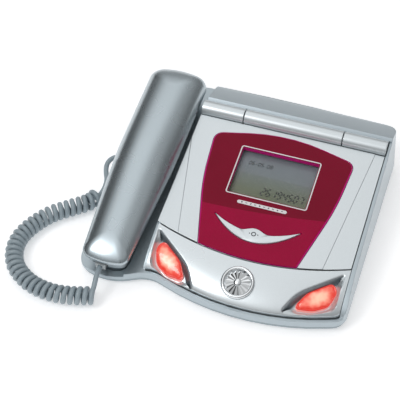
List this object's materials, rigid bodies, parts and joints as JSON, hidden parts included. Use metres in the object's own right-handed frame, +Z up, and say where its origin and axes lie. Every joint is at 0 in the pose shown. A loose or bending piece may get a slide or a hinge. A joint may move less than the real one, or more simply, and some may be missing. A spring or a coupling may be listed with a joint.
{
  "type": "novelty shaped telephone",
  "caption": "Corded desk telephone styled as a car's front end, with a lift-off handset, a flip-up bonnet over the keypad, a display and lamp-shaped lenses.",
  "frame": {"origin": "centre of the footprint of the base with its handset, on the surface that the feet stand on", "axes": "+Z up, -Y towards the person using the telephone, -X towards the side with the handset"},
  "size_m": [0.2651, 0.2292, 0.0653],
  "materials": {
    "silver_lacquer": "fine pearl silver lacquer over moulded plastic, satin gloss",
    "grey_lacquer": "darker blue-grey lacquer over moulded plastic",
    "bright_chrome": "bright plated plastic",
    "crimson_gloss": "deep crimson, high gloss, lighter on its bevelled edge",
    "clear_pane": "clear polished acrylic",
    "display_glass": "grey-green liquid crystal glass with dark segments",
    "white_print": "white label plate with small plain symbols",
    "red_lens": "translucent orange-red, moulded prisms inside",
    "dark_plastic": "fine matt moulding",
    "key_plastic": "satin silver key caps with printed numerals",
    "rubber": "matt moulded rubber",
    "circuit_board": "green solder mask",
    "steel": "drawn steel",
    "battery_wrap": "printed shrink sleeve",
    "clear_plug": "clear moulded plug",
    "cord_plastic": "soft blue-grey cord jacket"
  },
  "bodies": {
    "root": {"top_case": "silver_lacquer", "front_fascia": "silver_lacquer", "hinge_barrel_left": "silver_lacquer", "hinge_barrel_right": "silver_lacquer", "keypad_deck": "silver_lacquer", "bottom_case": "grey_lacquer", "medallion": "bright_chrome", "display_module": "display_glass", "headlight_lens_left": "red_lens", "headlight_lens_right": "red_lens", "headlight_case_left": "dark_plastic", "headlight_case_right": "dark_plastic", "base_speaker": "dark_plastic", "line_jack": "dark_plastic", "base_cord_jack": "dark_plastic", "hook_switch": "dark_plastic", "foot_front_left": "rubber", "foot_front_middle": "rubber", "foot_front_right": "rubber", "foot_rear_left": "rubber", "foot_rear_right": "rubber", "keypad_mat": "rubber", "main_board": "circuit_board", "hinge_pin": "steel", "battery_1": "battery_wrap", "battery_2": "battery_wrap", "battery_3": "battery_wrap", "base_plug": "clear_plug", "curly_cord": "cord_plastic", "cord_tail_handset": "cord_plastic", "cord_tail_base": "cord_plastic"},
    "bonnet": {"bonnet": "silver_lacquer", "crimson_panel": "crimson_gloss", "display_window": "clear_pane", "symbol_strip": "white_print", "hinge_barrel_middle": "silver_lacquer"},
    "handset": {"handset_top": "silver_lacquer", "handset_bottom": "grey_lacquer", "microphone": "dark_plastic", "earpiece": "dark_plastic", "handset_weight": "steel", "handset_cord_jack": "dark_plastic", "handset_plug": "clear_plug"},
    "crescent_key": {"crescent_key": "silver_lacquer"},
    "hook_plunger": {"hook_plunger": "dark_plastic"},
    "battery_door": {"battery_door": "grey_lacquer"},
    "key_0": {"key_0": "key_plastic"},
    "key_1": {"key_1": "key_plastic"},
    "key_2": {"key_2": "key_plastic"},
    "key_3": {"key_3": "key_plastic"},
    "key_4": {"key_4": "key_plastic"},
    "key_5": {"key_5": "key_plastic"},
    "key_6": {"key_6": "key_plastic"},
    "key_7": {"key_7": "key_plastic"},
    "key_8": {"key_8": "key_plastic"},
    "key_9": {"key_9": "key_plastic"},
    "key_star": {"key_star": "key_plastic"},
    "key_hash": {"key_hash": "key_plastic"},
    "key_redial": {"key_redial": "key_plastic"},
    "key_flash": {"key_flash": "key_plastic"}
  },
  "joints": [
    {"name": "bonnet_hinge", "type": "hinge", "parent": "root", "child": "bonnet", "pos_m": [0.0225, 0.06251, 0.04575], "axis": [-1, 0, 0], "range_deg": [0, 110]},
    {"name": "handset_lift", "type": "slide", "parent": "root", "child": "handset", "axis": [0, -0.1323, 0.9912], "range_m": [0, 0.1]},
    {"name": "hook_plunger_travel", "type": "slide", "parent": "root", "child": "hook_plunger", "axis": [0, -0.1323, 0.9912], "range_m": [0, 0.003]},
    {"name": "crescent_key_press", "type": "slide", "parent": "bonnet", "child": "crescent_key", "axis": [0, 0.1323, -0.9912], "range_m": [0, 0.001], "stiffness_N_per_m": 500, "springref_m": -0.001},
    {"name": "battery_door_slide", "type": "slide", "parent": "root", "child": "battery_door", "axis": [0, 1, 0], "range_m": [0, 0.016]},
    {"name": "key_0_press", "type": "slide", "parent": "root", "child": "key_0", "axis": [0, 0.1323, -0.9912], "range_m": [0, 0.0012], "stiffness_N_per_m": 400, "springref_m": -0.0005},
    {"name": "key_1_press", "type": "slide", "parent": "root", "child": "key_1", "axis": [0, 0.1323, -0.9912], "range_m": [0, 0.0012], "stiffness_N_per_m": 400, "springref_m": -0.0005},
    {"name": "key_2_press", "type": "slide", "parent": "root", "child": "key_2", "axis": [0, 0.1323, -0.9912], "range_m": [0, 0.0012], "stiffness_N_per_m": 400, "springref_m": -0.0005},
    {"name": "key_3_press", "type": "slide", "parent": "root", "child": "key_3", "axis": [0, 0.1323, -0.9912], "range_m": [0, 0.0012], "stiffness_N_per_m": 400, "springref_m": -0.0005},
    {"name": "key_4_press", "type": "slide", "parent": "root", "child": "key_4", "axis": [0, 0.1323, -0.9912], "range_m": [0, 0.0012], "stiffness_N_per_m": 400, "springref_m": -0.0005},
    {"name": "key_5_press", "type": "slide", "parent": "root", "child": "key_5", "axis": [0, 0.1323, -0.9912], "range_m": [0, 0.0012], "stiffness_N_per_m": 400, "springref_m": -0.0005},
    {"name": "key_6_press", "type": "slide", "parent": "root", "child": "key_6", "axis": [0, 0.1323, -0.9912], "range_m": [0, 0.0012], "stiffness_N_per_m": 400, "springref_m": -0.0005},
    {"name": "key_7_press", "type": "slide", "parent": "root", "child": "key_7", "axis": [0, 0.1323, -0.9912], "range_m": [0, 0.0012], "stiffness_N_per_m": 400, "springref_m": -0.0005},
    {"name": "key_8_press", "type": "slide", "parent": "root", "child": "key_8", "axis": [0, 0.1323, -0.9912], "range_m": [0, 0.0012], "stiffness_N_per_m": 400, "springref_m": -0.0005},
    {"name": "key_9_press", "type": "slide", "parent": "root", "child": "key_9", "axis": [0, 0.1323, -0.9912], "range_m": [0, 0.0012], "stiffness_N_per_m": 400, "springref_m": -0.0005},
    {"name": "key_star_press", "type": "slide", "parent": "root", "child": "key_star", "axis": [0, 0.1323, -0.9912], "range_m": [0, 0.0012], "stiffness_N_per_m": 400, "springref_m": -0.0005},
    {"name": "key_hash_press", "type": "slide", "parent": "root", "child": "key_hash", "axis": [0, 0.1323, -0.9912], "range_m": [0, 0.0012], "stiffness_N_per_m": 400, "springref_m": -0.0005},
    {"name": "key_redial_press", "type": "slide", "parent": "root", "child": "key_redial", "axis": [0, 0.1323, -0.9912], "range_m": [0, 0.0012], "stiffness_N_per_m": 400, "springref_m": -0.0005},
    {"name": "key_flash_press", "type": "slide", "parent": "root", "child": "key_flash", "axis": [0, 0.1323, -0.9912], "range_m": [0, 0.0012], "stiffness_N_per_m": 400, "springref_m": -0.0005}
  ],
  "couplings": [
    {"joint": "hook_plunger_travel", "follows": "handset_lift", "ratio": 0.03}
  ]
}
